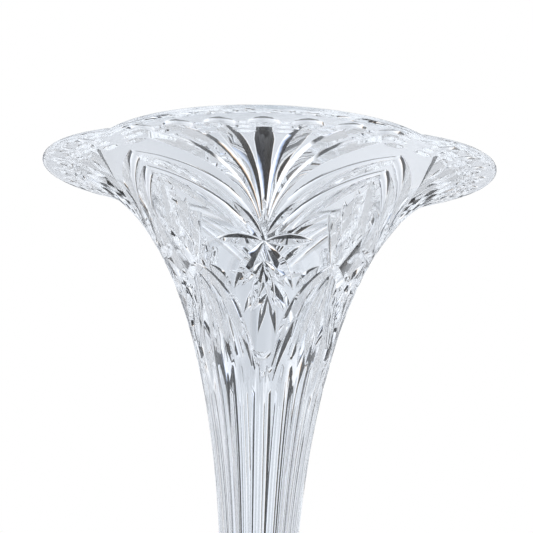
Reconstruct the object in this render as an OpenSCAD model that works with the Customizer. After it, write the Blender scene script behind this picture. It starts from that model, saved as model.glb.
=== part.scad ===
// Cut crystal trumpet vase.
// A four-lobed flared bowl on a fluted hollow neck, a faceted solid knop and a round star-cut foot.
// The three glass pieces are ground flat where they meet and held by thin clear bonding films.
// Z is up, the vase stands on z = 0, and one lobe of the rim faces each of -Y, +X, +Y and -X.

/* [Overall] */
// Height from the table to the top of the rim
vase_height = 305; // [290:1:330]
// Width across two opposite lobes of the rim
rim_diameter = 203; // [190:1:215]
// Width of the round foot
foot_diameter = 112; // [100:1:124]

/* [Bowl and neck] */
// Height of the ground face at the bottom of the neck
neck_base_height = 70; // [64:1:76]
// Radius of the neck at its bottom end
neck_base_radius = 14.5; // [13.5:0.5:16]
// Height at which the neck stops being nearly straight
neck_bend_height = 194; // [180:1:205]
// Radius that steers the bend of the neck
neck_bend_radius = 15.7; // [15:0.1:18]
// Upward slope of the bowl at its rim, in degrees
rim_slope = 5; // [3:1:9]
// Length of the nearly flat outer part of the flare
flare_reach = 65; // [58:1:70]
// Thickness of the glass at the rim
rim_wall = 5; // [4:0.5:6]
// Thickness of the glass at the bottom of the neck
neck_wall = 6.5; // [5:0.5:7]
// How far the rounded rim edge bulges
lip_bulge = 1.8; // [1:0.2:2.5]
// Radius of each rim lobe as a share of the rim radius
lobe_share = 0.767; // [0.74:0.001:0.85]

/* [Cutting] */
// Depth of a mitre cut as a share of its width
mitre_depth = 0.34; // [0.25:0.01:0.4]
// Width of the fan rays at their outer ends
ray_width = 7; // [5:0.5:8]
// Width of the border mitres
border_width = 3; // [2:0.5:4]
// Width of the leaf-shaped cuts of the stars
leaf_width = 5; // [3:0.5:6]
// Number of flutes around the neck
flute_count = 16; // [16:8:16]
// Depth of a flute as a share of the neck's radius
flute_depth = 0.055; // [0.03:0.005:0.07]
// Height at which the flutes run out
flute_top = 214; // [200:1:220]

/* [Knop and foot] */
// Height of the foot, up to its ground top face
foot_height = 34; // [30:1:38]
// Thickness of the clear bonding films
bond_thickness = 0.2; // [0.1:0.1:0.4]
// Radius of the ground faces that are bonded
bond_radius = 12; // [10:0.5:12.5]
// Radius of the knop at its widest
knop_radius = 21; // [18:0.5:23]
// Number of facets around the knop
knop_facets = 8; // [6:1:10]
// Number of mitre cuts around the top of the foot
foot_rays = 24; // [16:8:32]
// Number of points of the star under the foot
star_points = 24; // [16:8:32]

/* [Hidden] */
columns = 64;
rings = 10;
lobes = 4;
lobe_angle = 360 / lobes;
ray_step = lobe_angle / 8;
rim_radius = rim_diameter / 2;
foot_radius = foot_diameter / 2;
crystal = [0.85, 0.87, 0.90, 0.45];
bond_tint = [0.80, 0.86, 0.92, 0.60];

// The outer profile is one Bezier curve in the (radius, height) plane, from the neck's ground face to the rim.
half_wall = rim_wall / 2;
rim_end_radius = rim_radius + half_wall * sin(rim_slope)
    - norm([lip_bulge * cos(rim_slope), half_wall * sin(rim_slope)]);
rim_end_height = vase_height - half_wall * cos(rim_slope)
    - norm([lip_bulge * sin(rim_slope), half_wall * cos(rim_slope)]);
profile = [
    [neck_base_radius, neck_base_height],
    [neck_bend_radius, neck_bend_height],
    [rim_end_radius - flare_reach * cos(rim_slope), rim_end_height - flare_reach * sin(rim_slope)],
    [rim_end_radius, rim_end_height]
];

function mix(a, b, u) = a + (b - a) * u;
function clamp01(x) = min(1, max(0, x));
function ease(x) = let(u = clamp01(x)) u * u * (3 - 2 * u);

function curve(t) = let(s = 1 - t)
    s * s * s * profile[0] + 3 * s * s * t * profile[1] + 3 * s * t * t * profile[2] + t * t * t * profile[3];
function heading(t) = let(s = 1 - t)
    3 * (s * s * (profile[1] - profile[0]) + 2 * s * t * (profile[2] - profile[1])
    + t * t * (profile[3] - profile[2]));
function slope(t) = let(d = heading(t)) atan2(d[1], d[0]);
function wall(t) = mix(neck_wall, rim_wall, t);

// Share of the full rim radius that the lobed outline reaches at angle a: four arcs meeting in cusps.
function lobe_reach(a) =
    let(
        fold = a - lobe_angle * round(a / lobe_angle),
        centre = 1 - lobe_share
    )
    centre * cos(fold) + sqrt(lobe_share * lobe_share - pow(centre * sin(fold), 2));

// Curve parameter at which the profile reaches a radius, by bisection.
function find_t(radius, low = 0.5, high = 1, left = 18) = left == 0 ? (low + high) / 2
    : let(middle = (low + high) / 2)
    curve(middle)[0] < radius ? find_t(radius, middle, high, left - 1) : find_t(radius, low, middle, left - 1);

// How deep the flutes lie below the neck's round surface at angle a and curve parameter t.
function flute(a, t) =
    let(
        turn = 360 / flute_count,
        across = 2 * (a / turn - round(a / turn)),
        top = flute_top - 10 * across * across
    )
    flute_depth * curve(t)[0] * (1 - across * across) * ease((top - curve(t)[1]) / 16);

// One upright section of the bowl and neck at angle a, from the outer base over the rim to the inner base.
inner_start = 0.045;
function section(a) =
    let(
        reach = lobe_reach(a),
        t_end = reach > 0.9999 ? 1 : find_t(rim_end_radius * reach),
        along = [cos(slope(t_end)), sin(slope(t_end))],
        across = [-along[1], along[0]],
        edge = curve(t_end)
    )
    concat(
        [for (j = [0:rings]) let(t = t_end * j / rings) curve(t) - [flute(a, t), 0]],
        [for (turn = [-45:45:45])
            edge + half_wall * (1 + sin(turn)) * across + lip_bulge * cos(turn) * along],
        [for (j = [rings:-1:0])
            let(t = mix(inner_start, t_end, j / rings), s = slope(t))
            curve(t) + wall(t) * [-sin(s), cos(s)]]
    );

module shell() {
    sections = [for (i = [0:columns - 1]) section(360 * i / columns)];
    count = len(sections[0]);
    round_points = [for (i = [0:columns - 1]) for (p = sections[i])
        [p[0] * cos(360 * i / columns), p[0] * sin(360 * i / columns), p[1]]];
    outer_centre = len(round_points);
    inner_centre = outer_centre + 1;
    inner_floor = sections[0][count - 1][1] - 4;
    walls = [for (i = [0:columns - 1]) for (j = [0:count - 2])
        let(k = (i + 1) % columns, a = i * count + j, b = k * count + j)
        each [[a, a + 1, b], [b, a + 1, b + 1]]];
    caps = [for (i = [0:columns - 1])
        let(k = (i + 1) % columns)
        each [
            [outer_centre, i * count, k * count],
            [inner_centre, k * count + count - 1, i * count + count - 1]
        ]];
    polyhedron(
        points = concat(round_points, [[0, 0, neck_base_height], [0, 0, inner_floor]]),
        faces = concat(walls, caps)
    );
}

// Places and directions on the outer surface at angle a and curve parameter t.
function skin(a, t) = let(p = curve(t)) [p[0] * cos(a), p[0] * sin(a), p[1]];
function outward(a, t) = let(s = slope(t)) [sin(s) * cos(a), sin(s) * sin(a), -cos(s)];
function unit(v) = v / norm(v);

// The V-shaped section of a mitre cut: a triangle with its point in the glass and its wide side just outside.
module cut_section(a, t, width, along) {
    depth = width * mitre_depth;
    lift = 1.2;
    out = outward(a, t);
    spot = skin(a, t);
    half = width / 2 * (depth + lift) / depth * unit(cross(out, along));
    polyhedron(
        points = [spot + lift * out + half, spot + lift * out - half, spot - depth * out],
        faces = [[0, 1, 2]]
    );
}

// A mitre cut from one [angle, parameter] place to another; its width runs from widths[0] through
// a swell of widths[1] in the middle to widths[2].
module mitre_cut(from, to, widths, steps) {
    function place(u) = mix(from, to, u);
    function width(u) = mix(widths[0], widths[2], u) + widths[1] * 4 * u * (1 - u);
    function ground(u) = let(at = place(u)) skin(at[0], at[1]);
    function along(u) = unit(ground(u + 0.01) - ground(u - 0.01));
    module section_at(u) {
        cut_section(place(u)[0], place(u)[1], width(u), along(u));
    }
    for (k = [0:steps - 1])
        hull() {
            section_at(k / steps);
            section_at((k + 1) / steps);
        }
}

// The same cut on both sides of the lobe's middle line.
module paired_cut(from, to, widths, steps) {
    for (side = [-1, 1])
        mitre_cut([side * from[0], from[1]], [side * to[0], to[1]], widths, steps);
}

// Where the lines of the pattern meet, as [angle from the lobe's middle, curve parameter].
fan_foot = [0, 0.655];
fan_top = 0.875;
notch_low = 0.88;
notch_high = 0.98;
star_middle = [0, 0.622];
palmette_middle = [0, 0.572];
kite_side = [27.3, 0.683];
crossing = [45, 0.58];
kite_foot = [8, 0.43];
notch_foot = [45, 0.905];

module fan() {
    mitre_cut(fan_foot, [0, fan_top], [0.6, 0, ray_width], 2);
    for (k = [1:3])
        paired_cut([0.5 * k, fan_foot[1] + 0.01 * k], [k * ray_step, fan_top], [0.6, 0, ray_width], 2);
    paired_cut([1.5, 0.65], [kite_side[0], 0.758], [1, 0, 4], 1);
    paired_cut([kite_side[0], 0.758], [44, 0.93], [4, 0, 4], 1);
}

module rim_notches() {
    for (k = [0:3])
        paired_cut([(k + 0.5) * ray_step, notch_low], [(k + 0.5) * ray_step, notch_high], [0.8, 0, 6], 1);
}

module star() {
    paired_cut(star_middle, [25, 0.632], [0.8, leaf_width / 2, 0.8], 2);
    paired_cut(star_middle, [22, 0.538], [0.8, leaf_width / 2, 0.8], 2);
    paired_cut([2, 0.632], [17.8, 0.71], [0.8, leaf_width / 2, 0.8], 2);
    paired_cut([10, 0.635], [41, 0.88], [0.8, leaf_width, 0.8], 2);
    paired_cut(palmette_middle, [10, 0.497], [1, 0, 3], 1);
}

module kite() {
    paired_cut(kite_side, crossing, [border_width, 0, border_width], 1);
    paired_cut(crossing, kite_foot, [border_width, 0, border_width], 2);
    paired_cut([43, 0.56], [30.5, 0.46], [0.8, leaf_width * 0.7, 1.5], 2);
}

module lattice() {
    bars = 2;
    far_side = [lobe_angle - kite_side[0], kite_side[1]];
    for (k = [1:bars]) {
        share = k / (bars + 1);
        mitre_cut(mix(crossing, kite_side, share), mix(far_side, notch_foot, share), [2, 0, 2], 1);
        mitre_cut(mix(crossing, far_side, share), mix(kite_side, notch_foot, share), [2, 0, 2], 1);
    }
}

module neck_lines() {
    mitre_cut([45, 0.57], [45, 0.43], [2, 0, 0.8], 1);
    paired_cut([7, 0.39], [7, 0.3], [0.8, 1.6, 0.8], 1);
}

module trumpet() {
    color(crystal)
        difference() {
            shell();
            for (q = [0:lobes - 1])
                rotate([0, 0, q * lobe_angle]) {
                    fan();
                    rim_notches();
                    star();
                    kite();
                    lattice();
                    neck_lines();
                }
        }
}

// A bonding film between two ground faces, lying with its lower face at height z.
module film(z) {
    color(bond_tint)
        translate([0, 0, z])
            cylinder(h = bond_thickness, r = bond_radius, $fn = 96);
}

module neck_bond() {
    film(neck_base_height - bond_thickness);
}

module foot_bond() {
    film(foot_height);
}

// A solid cut ball: rings of flat diamonds and triangles between two ground round faces.
module knop() {
    low = foot_height + bond_thickness;
    high = neck_base_height - bond_thickness;
    middle = (low + high) / 2;
    belt = 4;
    tier = (high - low) * 0.31;
    color(crystal)
        hull() {
            translate([0, 0, middle])
                cylinder(h = belt, r = knop_radius, center = true, $fn = knop_facets);
            for (side = [-1, 1])
                translate([0, 0, middle + side * tier])
                    rotate([0, 0, 180 / knop_facets])
                        cylinder(h = 0.6, r = knop_radius * 0.84, center = true, $fn = knop_facets);
            translate([0, 0, low])
                cylinder(h = high - low, r = bond_radius, $fn = 48);
        }
}

// A domed round foot with radial mitres on top, a resting ring and a star cut in the raised middle below.
module foot() {
    edge = 7;
    stem_radius = 13;
    ring_width = 9;
    recess = 1.5;
    collar = 3;
    sweep = foot_height - edge - collar;
    color(crystal)
        difference() {
            rotate_extrude($fn = 144)
                difference() {
                    union() {
                        square([foot_radius, edge]);
                        translate([0, edge])
                            square([stem_radius + sweep, sweep]);
                        square([stem_radius, foot_height]);
                    }
                    translate([stem_radius + sweep, edge + sweep])
                        circle(r = sweep, $fn = 96);
                    translate([foot_radius, edge])
                        rotate(45)
                            square(2.4, center = true);
                }
            translate([0, 0, -1])
                cylinder(h = 1 + recess, r = foot_radius - ring_width, $fn = 144);
            for (k = [0:star_points / 2 - 1])
                rotate([0, 0, 360 * k / star_points])
                    translate([0, 0, recess - 0.4])
                        rotate([45, 0, 0])
                            cube([2 * (foot_radius - ring_width - 3), 3.2, 3.2], center = true);
            for (k = [0:foot_rays - 1])
                rotate([0, 0, 360 * (k + 0.5) / foot_rays])
                    translate([foot_radius - 6, 0, edge + 1])
                        rotate([0, 8, 0])
                            rotate([45, 0, 0])
                                cube([26, 3.4, 3.4], center = true);
        }
}

trumpet();
neck_bond();
knop();
foot_bond();
foot();
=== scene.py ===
"""Cut crystal trumpet vase: clear glass built from swept wheel cuts, on a pale studio floor."""

import math

import bmesh
import bpy
import numpy as np
from mathutils import Matrix, Vector


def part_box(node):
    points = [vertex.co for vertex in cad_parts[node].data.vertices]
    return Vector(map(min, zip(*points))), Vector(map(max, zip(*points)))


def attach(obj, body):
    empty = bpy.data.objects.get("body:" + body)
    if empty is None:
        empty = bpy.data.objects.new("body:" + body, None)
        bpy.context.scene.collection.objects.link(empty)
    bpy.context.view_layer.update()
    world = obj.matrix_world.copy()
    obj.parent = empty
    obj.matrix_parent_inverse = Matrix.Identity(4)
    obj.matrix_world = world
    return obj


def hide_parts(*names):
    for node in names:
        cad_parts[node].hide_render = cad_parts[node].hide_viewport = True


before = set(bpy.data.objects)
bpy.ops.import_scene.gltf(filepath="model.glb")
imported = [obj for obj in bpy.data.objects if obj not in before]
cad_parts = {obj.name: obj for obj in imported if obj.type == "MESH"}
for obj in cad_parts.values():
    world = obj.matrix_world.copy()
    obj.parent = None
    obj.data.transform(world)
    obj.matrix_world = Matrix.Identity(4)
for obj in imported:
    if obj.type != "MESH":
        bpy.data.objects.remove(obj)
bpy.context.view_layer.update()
MM = 0.001


# ---------------------------------------------------------------- dimensions, in millimetres

trumpet_low, trumpet_high = (Vector(corner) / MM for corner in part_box("trumpet"))
NECK_BASE = trumpet_low.z
TOP = trumpet_high.z
RIM_RADIUS = trumpet_high.x
RIM_SLOPE = math.radians(5)
RIM_WALL = 3.6
NECK_WALL = 6.5
LIP_BULGE = 1.8
LOBES = 4
LOBE_ANGLE = 360 / LOBES
LOBE_SHARE = 0.767
RAY_STEP = LOBE_ANGLE / 8

half_wall = RIM_WALL / 2
along_rim = Vector((math.cos(RIM_SLOPE), math.sin(RIM_SLOPE)))
rim_end = Vector((
    RIM_RADIUS + half_wall * along_rim.y - math.hypot(LIP_BULGE * along_rim.x, half_wall * along_rim.y),
    TOP - half_wall * along_rim.x - math.hypot(LIP_BULGE * along_rim.y, half_wall * along_rim.x),
))


# ---------------------------------------------------------------- turned surfaces

def mix(a, b, u):
    return a + (b - a) * u


def spun(point, angle):
    """A (radius, height) point turned to an angle in degrees; 0 faces -Y and 90 faces +X. In metres."""
    turn = math.radians(angle)
    return Vector((point.x * math.sin(turn), -point.x * math.cos(turn), point.y)) * MM


class Turned:
    """A surface of revolution whose outline is one cubic curve. The glass lies on the curve's left."""

    def __init__(self, *points):
        self.points = [Vector(point) for point in points]

    def at(self, t):
        """Radius and height at a share of the way along the curve."""
        s = 1 - t
        p = self.points
        return s ** 3 * p[0] + 3 * s * s * t * p[1] + 3 * s * t * t * p[2] + t ** 3 * p[3]

    def heading(self, t):
        s = 1 - t
        p = self.points
        return 3 * (s * s * (p[1] - p[0]) + 2 * s * t * (p[2] - p[1]) + t * t * (p[3] - p[2]))

    def outward(self, t):
        along = self.heading(t).normalized()
        return Vector((along.y, -along.x))

    def skin(self, angle, t, lift=0.0):
        """A point on the surface, or lift millimetres outside it."""
        return spun(self.at(t) + lift * self.outward(t), angle)


BOWL = Turned((14.5, NECK_BASE), (15.7, 194), rim_end - 65 * along_rim, rim_end)


def wall(t):
    """Thickness of the bowl's glass: it thins towards the rim."""
    return mix(NECK_WALL, RIM_WALL, t ** 4)


def find_t(radius):
    """Where the bowl's outline reaches a radius, by bisection."""
    low, high = 0.3, 1.0
    for _ in range(30):
        middle = (low + high) / 2
        low, high = (middle, high) if BOWL.at(middle).x < radius else (low, middle)
    return (low + high) / 2


def lobe_reach(angle):
    """Share of the full rim radius that the lobed outline reaches: four arcs meeting in cusps."""
    fold = math.radians(angle - LOBE_ANGLE * round(angle / LOBE_ANGLE))
    centre = 1 - LOBE_SHARE
    return centre * math.cos(fold) + math.sqrt(LOBE_SHARE ** 2 - (centre * math.sin(fold)) ** 2)


# ---------------------------------------------------------------- mesh helpers

def new_object(name, mesh):
    ob = bpy.data.objects.new(name, mesh)
    bpy.context.scene.collection.objects.link(ob)
    return ob


def mesh_from(name, verts, faces):
    mesh = bpy.data.meshes.new(name)
    mesh.from_pydata([tuple(v) for v in verts], [], faces)
    bm = bmesh.new()
    bm.from_mesh(mesh)
    bmesh.ops.recalc_face_normals(bm, faces=bm.faces)
    bm.to_mesh(mesh)
    bm.free()
    return mesh


def closed_rings(rings, first_pole=None, last_pole=None):
    """Vertices and faces of a tube of equal closed rings, shut by a pole vertex or a flat cap at each end."""
    count = len(rings[0])
    verts = [v for ring in rings for v in ring]
    faces = []
    for j in range(len(rings) - 1):
        for i in range(count):
            k = (i + 1) % count
            faces.append((j * count + i, j * count + k, (j + 1) * count + k, (j + 1) * count + i))
    for pole, start in ((first_pole, 0), (last_pole, (len(rings) - 1) * count)):
        if pole is None:
            faces.append(tuple(range(start, start + count)))
        else:
            verts.append(pole)
            faces += [(start + i, start + (i + 1) % count, len(verts) - 1) for i in range(count)]
    return verts, faces


def boolean(target, tool, operation):
    """Replaces the target's mesh by its boolean with the tool, and removes the tool."""
    step = target.modifiers.new("step", "BOOLEAN")
    step.operation = operation
    step.solver = "MANIFOLD"
    step.object = tool
    graph = bpy.context.evaluated_depsgraph_get()
    result = bpy.data.meshes.new_from_object(target.evaluated_get(graph))
    target.modifiers.clear()
    old = target.data
    target.data = result
    bpy.data.meshes.remove(old)
    tool_mesh = tool.data
    bpy.data.objects.remove(tool)
    bpy.data.meshes.remove(tool_mesh)


# Vertices nearer than this, in metres, are one
WELD = 1e-6


def smooth_by_angle(ob, degrees):
    """Smooth shading, with creases where faces meet at more than an angle."""
    bm = bmesh.new()
    bm.from_mesh(ob.data)
    bmesh.ops.remove_doubles(bm, verts=bm.verts, dist=WELD)
    bmesh.ops.dissolve_degenerate(bm, edges=bm.edges, dist=WELD)
    bmesh.ops.triangulate(bm, faces=bm.faces)
    limit = math.radians(degrees)
    for face in bm.faces:
        face.smooth = True
    for edge in bm.edges:
        edge.smooth = len(edge.link_faces) == 2 and edge.calc_face_angle(0) < limit
    bm.to_mesh(ob.data)
    bm.free()


# ---------------------------------------------------------------- wheel cuts

# How far a cutting tool stands proud of the surface that it cuts
LIFT = 1.0
# Straight segments that stand for the edge of a round-edged wheel
ROUND_POINTS = 10
# The polished shoulder beside a mitre: its half width, the largest share of the mitre's half width that it
# takes, its depth against the mitre's slope, and how far its outer edge stands proud
SHOULDER = 0.4
SHOULDER_SHARE = 0.4
SHOULDER_DROP = 2.4
EDGE_LIFT = 0.02


def mitre_section(width, sharpness=0.36):
    """Section of a V wheel, as (across, height) points, with its shoulders polished off."""
    half = width / 2
    soft = min(SHOULDER, half * SHOULDER_SHARE)
    outside = half + soft + LIFT
    left = [(-outside, LIFT), (-half - soft, EDGE_LIFT), (soft - half, -soft * sharpness * SHOULDER_DROP)]
    right = [(-x, y) for x, y in reversed(left)]
    return left + [(0, -width * sharpness)] + right + [(0, 2 * LIFT)]


def steep_section(width):
    """A deeper V, for lines that have to read dark."""
    return mitre_section(width, 0.45)


def flat_section(width):
    """A shallow V, for broad rays."""
    return mitre_section(width, 0.24)


def round_section(width, radius):
    """Section of a round-edged wheel of a radius, plunged until its cut is as wide as asked."""
    depth = radius - math.sqrt(radius ** 2 - width ** 2 / 4)
    rise = radius - depth
    spread = math.acos(max(-1, (rise - LIFT) / radius))
    turns = [mix(-spread, spread, k / ROUND_POINTS) for k in range(ROUND_POINTS + 1)]
    points = [(radius * math.sin(turn), rise - radius * math.cos(turn)) for turn in turns]
    return points + [(0, 2 * LIFT)]


def wheel(radius):
    """A section function for a round-edged wheel of one radius."""
    return lambda width: round_section(width, radius)


def sampled(values, u):
    """A value along a list of evenly spaced ones, mixed from the two nearest."""
    place = u * (len(values) - 1)
    k = min(int(place), len(values) - 2)
    return mix(values[k], values[k + 1], place - k)


def on_path(path, u):
    """A place along the Bezier curve that a list of (angle, t) points steers."""
    points = [Vector(p) for p in path]
    while len(points) > 1:
        points = [mix(a, b, u) for a, b in zip(points, points[1:])]
    return points[0]


def sweep(surface, path, widths, section, steps, side, turn):
    """Vertices and faces of one wheel's way along a path over a turned surface."""
    rings = []
    for k in range(steps + 1):
        u = k / steps
        place = on_path(path, u)
        step = on_path(path, min(1, u + 0.01)) - on_path(path, max(0, u - 0.01))
        radius = surface.at(place.y).x
        stretch = surface.heading(place.y).length
        along = Vector((math.radians(step.x) * radius, step.y * stretch)).normalized()
        ring = []
        for across, height in section(sampled(widths, u)):
            angle = place.x - math.degrees(across * along.y / radius)
            t = place.y + across * along.x / stretch
            ring.append(surface.skin(side * angle + turn, t, height))
        rings.append(ring)
    return closed_rings(rings)


class Cutter:
    """All the wheel cuts of a turned surface, joined into one solid to be taken from it."""

    def __init__(self, surface, sectors):
        self.surface = surface
        self.sectors = sectors
        self.solid = None

    def add(self, verts, faces):
        tool = new_object("wheel", mesh_from("wheel", verts, faces))
        if self.solid is None:
            self.solid = tool
        else:
            boolean(self.solid, tool, "UNION")

    def cut(self, path, widths, section=mitre_section, steps=10, paired=True):
        """Cuts along a path in every sector, and along its mirror image if paired."""
        for side in ((1, -1) if paired else (1,)):
            verts, faces = [], []
            for sector in range(self.sectors):
                turn = sector * 360 / self.sectors
                some_verts, some_faces = sweep(self.surface, path, widths, section, steps, side, turn)
                faces += [tuple(i + len(verts) for i in face) for face in some_faces]
                verts += some_verts
            self.add(verts, faces)


# Places on the bowl as (angle from the lobe's middle, curve parameter).
RAY_END = 0.935
STAR = (0, 0.638)
PALMETTE = (0, 0.60)
CROSSING = (45, 0.60)
PANEL_SIDE = (32, 0.705)
PANEL_TOP = (45, 0.84)
KITE_FOOT = (8.5, 0.425)


def between(a, b, u):
    return (mix(a[0], b[0], u), mix(a[1], b[1], u))


def cut_fan(cutter):
    """Seven rays that spread from nearly one point, and the smooth bands and dark leaves that hold them."""
    widths = [0.4, 2.0, 3.6, 5.2, 7.0, 8.8, 7.0]
    cutter.cut([(0, 0.66), (0, 0.80), (0, RAY_END)], widths, flat_section, 12, paired=False)
    for k in range(1, 4):
        cutter.cut([(0.4 * k, 0.665), (3.5 * k, 0.80), (11 * k, RAY_END)], widths, flat_section, 14)
    band = [0.4, 4.0, 7.0, 8.0, 8.0, 7.6, 6.0]
    cutter.cut([(1, 0.652), (16, 0.755), (30, 0.81), (46, 0.88)], band, wheel(5.4), 24)
    cutter.cut([(1.0, 0.648), (8, 0.685), (15.5, 0.73)], [0.3, 3.2, 4.2, 3.2, 0.3], steep_section)
    petal = [0.3, 6.0, 8.0, 8.4, 8.0, 7.0, 5.0]
    cutter.cut([(6, 0.648), (18, 0.697), (32, 0.765), (46, 0.83)], petal, wheel(5.4), 24)


def cut_rim(cutter):
    """A row of thumb cuts hanging from the rim, with three short mitres in each triangle between them."""
    thumb = [1.0, 9.5, 13.5, 14.5, 12.0, 6.0, 0.5]
    cutter.cut([(0, 0.925), (0, 0.995)], thumb, wheel(26), 14, paired=False)
    for k in range(1, 4):
        cutter.cut([(k * RAY_STEP, 0.925), (k * RAY_STEP, 0.995)], thumb, wheel(26), 14)
    for k in range(4):
        middle = (k + 0.5) * RAY_STEP
        for row, reach in enumerate((4.4, 3.0, 1.6)):
            t = 0.918 + 0.018 * row
            cutter.cut([(middle - reach, t), (middle + reach, t)], [0.3, 2.2, 2.6, 2.2, 0.3], steps=8)


def cut_star(cutter):
    leaf = [0.3, 4.0, 5.4, 4.0, 0.3]
    cutter.cut([STAR, (27, 0.646)], leaf)
    cutter.cut([STAR, (19.5, 0.550)], leaf)
    cutter.cut([(34, 0.598), (21, 0.555)], leaf)
    small_leaf = [0.3, 2.6, 3.6, 2.4, 0.3]
    cutter.cut([PALMETTE, (14, 0.555)], small_leaf)
    cutter.cut([PALMETTE, (8.0, 0.51)], small_leaf)


def cut_kite(cutter):
    """The borders of the smooth kite under the star, and the olives beside its point."""
    cutter.cut([CROSSING, (37.5, 0.645), PANEL_SIDE], [4.4, 4.6, 4.0], steep_section)
    cutter.cut([CROSSING, (22, 0.55), KITE_FOOT], [4.0, 5.0, 5.4, 4.0, 0.5], steep_section, 16)
    crown = [(-KITE_FOOT[0], 0.455), (0, 0.425), (KITE_FOOT[0], 0.455)]
    cutter.cut(crown, [0.5, 3.4, 4.2, 3.4, 0.5], wheel(2.6), 12, paired=False)
    cutter.cut([(44, 0.592), (34, 0.53), (26, 0.462)], [0.3, 6.0, 8.2, 7.8, 4.0], wheel(4.5), 16)
    cutter.cut([(43.5, 0.53), (38, 0.445)], [0.3, 4.0, 4.6, 0.3], steep_section)


def cut_lattice(cutter):
    """The diamond panel between two lobes: crossing mitres over a tall olive."""
    bars = 3
    far_side = (LOBE_ANGLE - PANEL_SIDE[0], PANEL_SIDE[1])
    for k in range(1, bars + 1):
        share = k / (bars + 1)
        ends = (between(CROSSING, PANEL_SIDE, share), between(far_side, PANEL_TOP, share))
        cutter.cut(ends, [0.5, 4.6, 5.2, 5.2, 0.5], steep_section, 12)
    cutter.cut([(45, 0.612), (45, 0.672)], [0.3, 5.0, 7.5, 6.5, 2.0], wheel(5), 12, paired=False)
    cutter.cut([(45, 0.59), (45, 0.45)], [1.0, 2.6, 0.5], paired=False)


def cut_neck(cutter):
    """Sixteen flutes, and two slim ones under the point of each kite."""
    pitch = LOBE_ANGLE / 4
    flute = [5.7, 5.9, 6.4, 7.2, 8.2, 9.0, 8.8, 0.5]
    for k in range(4):
        cutter.cut([(k * pitch, -0.02), (k * pitch, 0.465)], flute, wheel(13), 24, paired=False)
    cutter.cut([(3.6, 0.42), (3.6, 0.2)], [0.3, 3.0, 2.6, 2.0, 0.3], wheel(1.9))


# ---------------------------------------------------------------- glass pieces

COLUMNS = 256
OUTER_RINGS = 90
INNER_RINGS = 60
LIP_POINTS = 8
# Where the hollow begins along the outline, and how far its floor drops below that
INNER_START = 0.045
FLOOR_DROP = 4
# A corner this near the surface, on a face within this angle of it, is part of the surface
ON_SKIN = 0.06 * MM
SHOULDER_ANGLE = 38
OUTLINE_SAMPLES = 4001
# Edges sharper than this stay sharp
CREASE_ANGLE = 24
KNOP_CREASE = 14
FILM_CREASE = 50
# The knop's facets and widest radius, its belt's height, where its tiers lie as a share of its height, their
# radius, its polished edges' width, and the radius of its ground ends
KNOP_FACETS = 8
KNOP_RADIUS = 21
KNOP_BELT = 4
KNOP_TIER = 0.31
KNOP_TIER_RADIUS = 0.84 * KNOP_RADIUS
KNOP_EDGE = 0.5
SEAT_RADIUS = 12
# The cuts over and under the foot are made in this many sectors, with this many in each
FOOT_SECTORS = 8
CUTS_A_SECTOR = 3
FOOT_COLUMNS = 192
FILM_COLUMNS = 96
# How far a film reaches into the glass on both sides, so that light passes the flat joint
WETTING = 0.04


def bowl_section(angle):
    """Outer base, outer wall, lip and inner wall at one angle, as (radius, height) points."""
    reach = lobe_reach(angle)
    t_end = 1.0 if reach > 0.9999 else find_t(rim_end.x * reach)
    along = BOWL.heading(t_end).normalized()
    across = -BOWL.outward(t_end)
    points = [BOWL.at(t_end * j / OUTER_RINGS) for j in range(OUTER_RINGS + 1)]
    for k in range(1, LIP_POINTS):
        turn = math.pi * (k / LIP_POINTS - 0.5)
        points.append(BOWL.at(t_end) + half_wall * (1 + math.sin(turn)) * across
                      + LIP_BULGE * math.cos(turn) * along)
    for j in range(INNER_RINGS, -1, -1):
        t = mix(INNER_START, t_end, j / INNER_RINGS)
        points.append(BOWL.at(t) - wall(t) * BOWL.outward(t))
    return points


def true_normals(ob, surface):
    """Gives every corner on a turned surface, and on the shoulders of its cuts, the surface's own normal."""
    mesh = ob.data
    corners = len(mesh.loops)
    t = np.linspace(0, 1, OUTLINE_SAMPLES)[:, None]
    s = 1 - t
    p = [np.array(point) for point in surface.points]
    outline = (s ** 3 * p[0] + 3 * s * s * t * p[1] + 3 * s * t * t * p[2] + t ** 3 * p[3]) * MM
    along = s * s * (p[1] - p[0]) + 2 * s * t * (p[2] - p[1]) + t * t * (p[3] - p[2])
    along /= np.linalg.norm(along, axis=1, keepdims=True)
    order = np.argsort(outline[:, 1])
    places = np.empty(len(mesh.vertices) * 3)
    mesh.vertices.foreach_get("co", places)
    places = places.reshape(-1, 3)
    radii = np.hypot(places[:, 0], places[:, 1])
    lookup = [np.interp(places[:, 2], outline[order, 1], values[order])
              for values in (outline[:, 0], along[:, 0], along[:, 1])]
    on_skin = np.abs(radii - lookup[0]) * np.abs(lookup[2]) < ON_SKIN
    spokes = places[:, :2] / np.maximum(radii, 1e-9)[:, None]
    exact = np.column_stack((spokes * lookup[2][:, None], -lookup[1]))
    vertex_of = np.empty(corners, dtype=int)
    mesh.loops.foreach_get("vertex_index", vertex_of)
    normals = np.empty(corners * 3)
    mesh.corner_normals.foreach_get("vector", normals)
    normals = normals.reshape(-1, 3)
    faces = np.empty(len(mesh.polygons) * 3)
    mesh.polygons.foreach_get("normal", faces)
    face_normals = np.repeat(faces.reshape(-1, 3), 3, axis=0)
    wanted = exact[vertex_of]
    near = np.sum(face_normals * wanted, axis=1) > math.cos(math.radians(SHOULDER_ANGLE))
    chosen = on_skin[vertex_of] & near
    normals[chosen] = wanted[chosen]
    mesh.normals_split_custom_set(normals.tolist())


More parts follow.
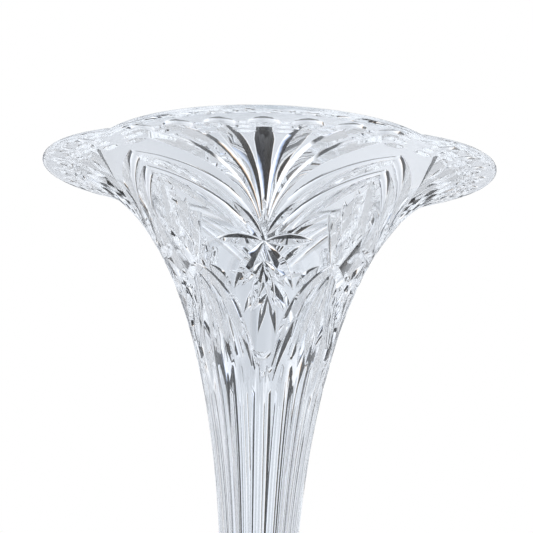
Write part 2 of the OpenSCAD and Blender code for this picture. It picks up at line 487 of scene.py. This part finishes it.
def make_bowl(node):
    """The lobed bowl and hollow neck, with every wheel cut taken from it."""
    sections = [bowl_section(360 * i / COLUMNS) for i in range(COLUMNS)]
    rings = [[spun(sections[i][j], 360 * i / COLUMNS) for i in range(COLUMNS)]
             for j in range(len(sections[0]))]
    floor = sections[0][-1].y - FLOOR_DROP
    verts, faces = closed_rings(rings, spun(Vector((0, NECK_BASE)), 0), spun(Vector((0, floor)), 0))
    bowl = new_object("crystal_" + node, mesh_from("crystal_" + node, verts, faces))
    cutter = Cutter(BOWL, LOBES)
    for cut in (cut_fan, cut_rim, cut_star, cut_kite, cut_lattice, cut_neck):
        cut(cutter)
    boolean(bowl, cutter.solid, "DIFFERENCE")
    smooth_by_angle(bowl, CREASE_ANGLE)
    true_normals(bowl, BOWL)
    return bowl


def make_knop(node):
    """A faceted ball: the hull of an eight-sided belt, two turned tiers and round ends, edges polished."""
    low, high = (Vector(corner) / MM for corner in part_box(node))
    middle = (low.z + high.z) / 2
    rise = high.z - low.z
    bm = bmesh.new()

    def ring(radius, z, count, turn=0.0):
        for k in range(count):
            bm.verts.new(spun(Vector((radius, z)), 360 * k / count + turn))

    for z in (middle - KNOP_BELT / 2, middle + KNOP_BELT / 2):
        ring(KNOP_RADIUS, z, KNOP_FACETS, 90)
    for side in (-1, 1):
        for lift in (-0.3, 0.3):
            z = middle + side * KNOP_TIER * rise + lift
            ring(KNOP_TIER_RADIUS, z, KNOP_FACETS, 90 + 180 / KNOP_FACETS)
        ring(SEAT_RADIUS, middle + side * rise / 2, FILM_COLUMNS)
    bmesh.ops.convex_hull(bm, input=bm.verts)
    bmesh.ops.dissolve_limit(bm, angle_limit=math.radians(1), verts=bm.verts, edges=bm.edges)
    sharp = [edge for edge in bm.edges if edge.calc_face_angle(0) > math.radians(15)]
    bmesh.ops.bevel(bm, geom=sharp, offset=KNOP_EDGE * MM, segments=3, profile=0.5, affect="EDGES",
                    clamp_overlap=True)
    mesh = bpy.data.meshes.new("crystal_" + node)
    bm.to_mesh(mesh)
    bm.free()
    ob = new_object("crystal_" + node, mesh)
    smooth_by_angle(ob, KNOP_CREASE)
    return ob


def arc(centre, radius, start, end, count):
    """Points of an arc in the (radius, height) plane; angles in degrees from outwards to upwards."""
    turns = [math.radians(mix(start, end, k / count)) for k in range(count + 1)]
    return [Vector((centre[0] + radius * math.cos(turn), centre[1] + radius * math.sin(turn)))
            for turn in turns]


def make_foot(node):
    """A round foot with a sweeping top, radial mitres over it and a star under it."""
    low, high = (Vector(corner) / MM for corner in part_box(node))
    edge, recess, ring_width, stem, collar = 7, 1.5, 9, 13, 3
    bend, seat_round, hub = 1.7, 0.6, 0.6
    flat_steps, sweep_steps = 30, 60
    radius = high.x
    inner = radius - ring_width
    top = Turned((radius - bend, edge), (30, edge), (stem + 0.3, edge + 2), (stem, high.z - collar))
    under = Turned((3, recess), (17, recess), (32, recess), (inner - 1, recess))
    outline = [Vector((hub + (inner - 1 - hub) * k / flat_steps, recess)) for k in range(flat_steps + 1)]
    outline += arc((inner, recess - 1), 1, 90, 0, 4)[1:-1]
    outline += [Vector((inner + 1, 0.3)), Vector((inner + 1.5, 0))]
    outline += arc((radius - bend, bend), bend, -90, 0, 6) + arc((radius - bend, edge - bend), bend, 0, 90, 6)
    outline += [top.at(k / sweep_steps) for k in range(1, sweep_steps + 1)]
    outline += arc((stem - seat_round, high.z - seat_round), seat_round, 0, 90, 4)
    rings = [[spun(point, 360 * k / FOOT_COLUMNS) for k in range(FOOT_COLUMNS)] for point in outline]
    verts, faces = closed_rings(rings, spun(Vector((0, recess)), 0), spun(Vector((0, high.z)), 0))
    foot = new_object("crystal_" + node, mesh_from("crystal_" + node, verts, faces))
    mitres, star = Cutter(top, FOOT_SECTORS), Cutter(under, FOOT_SECTORS)
    pitch = 360 / (FOOT_SECTORS * CUTS_A_SECTOR)
    for k in range(CUTS_A_SECTOR):
        angle = pitch * k
        mitres.cut([(angle, 0.0), (angle, 0.86)], [5.2, 4.8, 3.8, 2.2, 0.3], steps=20, paired=False)
        star.cut([(angle, 0.02), (angle, 0.97)], [0.3, 2.4, 3.4, 3.0, 0.3], paired=False)
    boolean(foot, mitres.solid, "DIFFERENCE")
    boolean(foot, star.solid, "DIFFERENCE")
    smooth_by_angle(foot, CREASE_ANGLE)
    return foot


def make_bond(node):
    """A film of clear adhesive, wetting a hair's breadth into the glass on both sides of it."""
    low, high = (Vector(corner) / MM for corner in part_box(node))
    outline = [Vector((high.x - 0.1, low.z - WETTING)), Vector((high.x, low.z + 0.05)),
               Vector((high.x, high.z - 0.05)), Vector((high.x - 0.1, high.z + WETTING))]
    rings = [[spun(point, 360 * k / FILM_COLUMNS) for k in range(FILM_COLUMNS)] for point in outline]
    verts, faces = closed_rings(rings)
    bond = new_object("clear_" + node, mesh_from("clear_" + node, verts, faces))
    smooth_by_angle(bond, FILM_CREASE)
    return bond


# ---------------------------------------------------------------- materials

# The slow drift in tint and polish: its cells a metre, where it starts to dull the polish, and a bound on it
DRIFT_CELLS = 45
DULL_FROM = 0.45
ROUGHEST_POLISH = 0.03


def crystal_material():
    """Clear crystal whose cool tint and polish drift a little from place to place."""
    material = bpy.data.materials.new("crystal")
    material.use_nodes = True
    nodes, links = material.node_tree.nodes, material.node_tree.links
    shader = nodes["Principled BSDF"]
    shader.inputs["IOR"].default_value = 1.545
    shader.inputs["Transmission Weight"].default_value = 1.0
    place = nodes.new("ShaderNodeTexCoord")
    drift = nodes.new("ShaderNodeTexNoise")
    drift.inputs["Scale"].default_value = DRIFT_CELLS
    tint = nodes.new("ShaderNodeValToRGB")
    tint.color_ramp.elements[0].color = (0.958, 0.980, 1.0, 1)
    tint.color_ramp.elements[1].color = (0.982, 0.990, 1.0, 1)
    polish = nodes.new("ShaderNodeMapRange")
    polish.inputs["From Min"].default_value = DULL_FROM
    polish.inputs["To Min"].default_value = 0.0
    polish.inputs["To Max"].default_value = ROUGHEST_POLISH
    links.new(place.outputs["Object"], drift.inputs["Vector"])
    links.new(drift.outputs["Fac"], tint.inputs["Fac"])
    links.new(drift.outputs["Fac"], polish.inputs["Value"])
    links.new(tint.outputs["Color"], shader.inputs["Base Color"])
    links.new(polish.outputs["Result"], shader.inputs["Roughness"])
    return material


def adhesive_material():
    """Water-clear adhesive, a little less dense than the crystal."""
    material = bpy.data.materials.new("adhesive")
    material.use_nodes = True
    shader = material.node_tree.nodes["Principled BSDF"]
    shader.inputs["Base Color"].default_value = (0.97, 0.98, 0.98, 1)
    shader.inputs["Roughness"].default_value = 0.0
    shader.inputs["IOR"].default_value = 1.50
    shader.inputs["Transmission Weight"].default_value = 1.0
    return material


# A weak glow of the floor's own makes it paler than the light panels alone do.
FLOOR_GLOW = 0.12


def floor_material():
    """Matt, nearly white, with a faint cloudiness."""
    material = bpy.data.materials.new("floor")
    material.use_nodes = True
    nodes, links = material.node_tree.nodes, material.node_tree.links
    shader = nodes["Principled BSDF"]
    shader.inputs["Roughness"].default_value = 0.6
    shader.inputs["Emission Color"].default_value = (0.96, 0.98, 1.0, 1)
    shader.inputs["Emission Strength"].default_value = FLOOR_GLOW
    grain = nodes.new("ShaderNodeTexNoise")
    grain.inputs["Scale"].default_value = 40
    tone = nodes.new("ShaderNodeValToRGB")
    tone.color_ramp.elements[0].color = (0.94, 0.94, 0.94, 1)
    tone.color_ramp.elements[1].color = (0.97, 0.97, 0.97, 1)
    links.new(grain.outputs["Fac"], tone.inputs["Fac"])
    links.new(tone.outputs["Color"], shader.inputs["Base Color"])
    return material


# ---------------------------------------------------------------- studio

PANEL_ANGLE = 45
PANEL_HEIGHT = 48
PANEL_CENTRE = 10
PANEL_SHIFT = 0.07
LOW_SEAMS = 1.22
# Light that has crossed many facets fades to an even tone, which keeps the far wall from showing as speckle.
SHARP_BOUNCES = 8
BLURRED_BOUNCES = 15
EVEN_SHARE = 0.88
EVEN_LIGHT = (1.08, 1.12, 1.18, 1)
# Elevations between which the seams narrow from LOW_SEAMS to their plain width
SEAMS_WIDE_BELOW = 10
SEAMS_PLAIN_ABOVE = 24
# Half a panel centres it, and whole panels keep the number whose fraction is taken above zero
HALF_AND_WHOLE_PANELS = 8.5
# Colours across one light panel, as (share of its width, red, green, blue), with dark fringed seams.
ACROSS = (
    (0.000, 0.01, 0.01, 0.01), (0.125, 0.01, 0.01, 0.015), (0.140, 0.50, 0.62, 0.86),
    (0.155, 1.22, 1.25, 1.30), (0.30, 0.88, 0.91, 0.95), (0.50, 0.64, 0.67, 0.71),
    (0.70, 0.88, 0.91, 0.95), (0.858, 1.26, 1.26, 1.26), (0.872, 0.95, 0.70, 0.48),
    (0.885, 0.02, 0.015, 0.01), (1.000, 0.01, 0.01, 0.01),
)
# The same from the bottom of a panel to its top.
UP = (
    (0.000, 0.01, 0.01, 0.01), (0.055, 0.01, 0.01, 0.01), (0.10, 1.00, 1.00, 1.01), (0.30, 1.00, 1.00, 1.01),
    (0.50, 0.96, 0.96, 0.97), (0.62, 1.08, 1.08, 1.09), (0.88, 1.12, 1.12, 1.13), (0.93, 0.02, 0.02, 0.02),
    (1.000, 0.01, 0.01, 0.01),
)


def make_world():
    """White to the camera; around the glass, a tent of light panels with dark seams between them."""
    world = bpy.data.worlds.new("studio")
    bpy.context.scene.world = world
    world.use_nodes = True
    nodes, links = world.node_tree.nodes, world.node_tree.links
    nodes.clear()

    def calc(operation, first, second=0.0):
        node = nodes.new("ShaderNodeMath")
        node.operation = operation
        for socket, value in zip(node.inputs, (first, second)):
            if isinstance(value, float):
                socket.default_value = value
            else:
                links.new(value, socket)
        return node.outputs["Value"]

    def ramp(place, stops):
        node = nodes.new("ShaderNodeValToRGB")
        elements = node.color_ramp.elements
        while len(elements) < len(stops):
            elements.new(0.5)
        for element, (position, *colour) in zip(elements, stops):
            element.position = position
            element.color = (*colour, 1)
        links.new(place, node.inputs["Fac"])
        return node.outputs["Color"]

    path = nodes.new("ShaderNodeLightPath")
    coords = nodes.new("ShaderNodeTexCoord")
    split = nodes.new("ShaderNodeSeparateXYZ")
    links.new(coords.outputs["Generated"], split.inputs["Vector"])
    azimuth = calc("ARCTAN2", split.outputs["X"], split.outputs["Y"])
    elevation = calc("ARCSINE", split.outputs["Z"])
    panels = calc("DIVIDE", azimuth, math.radians(PANEL_ANGLE))
    across = calc("FRACT", calc("ADD", panels, HALF_AND_WHOLE_PANELS + PANEL_SHIFT))
    seams = nodes.new("ShaderNodeMapRange")
    seams.inputs["From Min"].default_value = math.radians(SEAMS_WIDE_BELOW)
    seams.inputs["From Max"].default_value = math.radians(SEAMS_PLAIN_ABOVE)
    seams.inputs["To Min"].default_value = LOW_SEAMS
    seams.inputs["To Max"].default_value = 1.0
    links.new(elevation, seams.inputs["Value"])
    across = calc("ADD", calc("MULTIPLY", calc("SUBTRACT", across, 0.5), seams.outputs["Result"]), 0.5)
    rise = calc("SUBTRACT", elevation, math.radians(PANEL_CENTRE))
    up = calc("FRACT", calc("ADD", calc("DIVIDE", rise, math.radians(PANEL_HEIGHT)), HALF_AND_WHOLE_PANELS))
    both = nodes.new("ShaderNodeMix")
    both.data_type = "RGBA"
    both.blend_type = "MULTIPLY"
    both.inputs["Factor"].default_value = 1
    links.new(ramp(across, ACROSS), both.inputs["A"])
    links.new(ramp(up, UP), both.inputs["B"])
    around = nodes.new("ShaderNodeBackground")
    deep = nodes.new("ShaderNodeMapRange")
    deep.inputs["From Min"].default_value = SHARP_BOUNCES
    deep.inputs["From Max"].default_value = BLURRED_BOUNCES
    deep.inputs["To Max"].default_value = EVEN_SHARE
    links.new(path.outputs["Ray Depth"], deep.inputs["Value"])
    soft = nodes.new("ShaderNodeMix")
    soft.data_type = "RGBA"
    soft.inputs["B"].default_value = EVEN_LIGHT
    links.new(deep.outputs["Result"], soft.inputs["Factor"])
    links.new(both.outputs["Result"], soft.inputs["A"])
    links.new(soft.outputs["Result"], around.inputs["Color"])
    seen = nodes.new("ShaderNodeBackground")
    seen.inputs["Color"].default_value = (1, 1, 1, 1)
    choose = nodes.new("ShaderNodeMixShader")
    links.new(path.outputs["Is Camera Ray"], choose.inputs["Fac"])
    links.new(around.outputs["Background"], choose.inputs[1])
    links.new(seen.outputs["Background"], choose.inputs[2])
    out = nodes.new("ShaderNodeOutputWorld")
    links.new(choose.outputs["Shader"], out.inputs["Surface"])


# The camera: degrees round from the front, metres from the axis and above the table, and its tilt
CAMERA_AZIMUTH = 1.7
CAMERA_DISTANCE = 0.800
CAMERA_HEIGHT = 0.108
CAMERA_PITCH = 10.67
CAMERA_ROLL = 1.6
# Its sensor and lens, in millimetres
SENSOR_WIDTH = 36
LENS = 123.669794


def make_camera():
    """Looks up at the bowl from below its flare, nearly straight from the front."""
    camera = bpy.data.cameras.new("camera")
    ob = bpy.data.objects.new("camera", camera)
    bpy.context.scene.collection.objects.link(ob)
    azimuth, pitch, roll = (math.radians(turn) for turn in (CAMERA_AZIMUTH, CAMERA_PITCH, CAMERA_ROLL))
    ob.location = (
        CAMERA_DISTANCE * math.sin(azimuth), -CAMERA_DISTANCE * math.cos(azimuth), CAMERA_HEIGHT)
    ahead = Vector((
        -math.sin(azimuth) * math.cos(pitch), math.cos(azimuth) * math.cos(pitch), math.sin(pitch)))
    look = ahead.to_track_quat("-Z", "Y").to_matrix().to_4x4()
    turn = look @ Matrix.Rotation(roll, 4, "Z")
    ob.rotation_euler = turn.to_euler()
    camera.sensor_width = SENSOR_WIDTH
    camera.lens = LENS
    bpy.context.scene.camera = ob


crystal = crystal_material()
adhesive = adhesive_material()
for make, node, slot, material in (
        (make_bowl, "trumpet", "crystal_bowl", crystal),
        (make_knop, "knop", "crystal_base", crystal),
        (make_foot, "foot", "crystal_base", crystal),
        (make_bond, "neck_bond", "bond_film", adhesive),
        (make_bond, "foot_bond", "bond_film", adhesive)):
    piece = make(node)
    piece.data.materials.clear()
    piece.data.materials.append(material)
    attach(piece, "root")
    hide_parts(node)

# The floor lies a little under the foot, because two surfaces at one height would turn the foot's ring black.
FLOOR_HEIGHT = -0.3 * MM
FLOOR_REACH = 3
corners = [(x * FLOOR_REACH, y * FLOOR_REACH, FLOOR_HEIGHT) for x, y in ((-1, -1), (1, -1), (1, 1), (-1, 1))]
floor = new_object("floor", mesh_from("floor", corners, [(0, 1, 2, 3)]))
floor.data.materials.append(floor_material())

make_world()
make_camera()
scene = bpy.context.scene
scene.view_settings.view_transform = "Standard"
# Half as many bounces end paths inside the rim and turn its edge black.
BOUNCES = 48
scene.cycles.max_bounces = BOUNCES
scene.cycles.transmission_bounces = BOUNCES
scene.cycles.glossy_bounces = BOUNCES
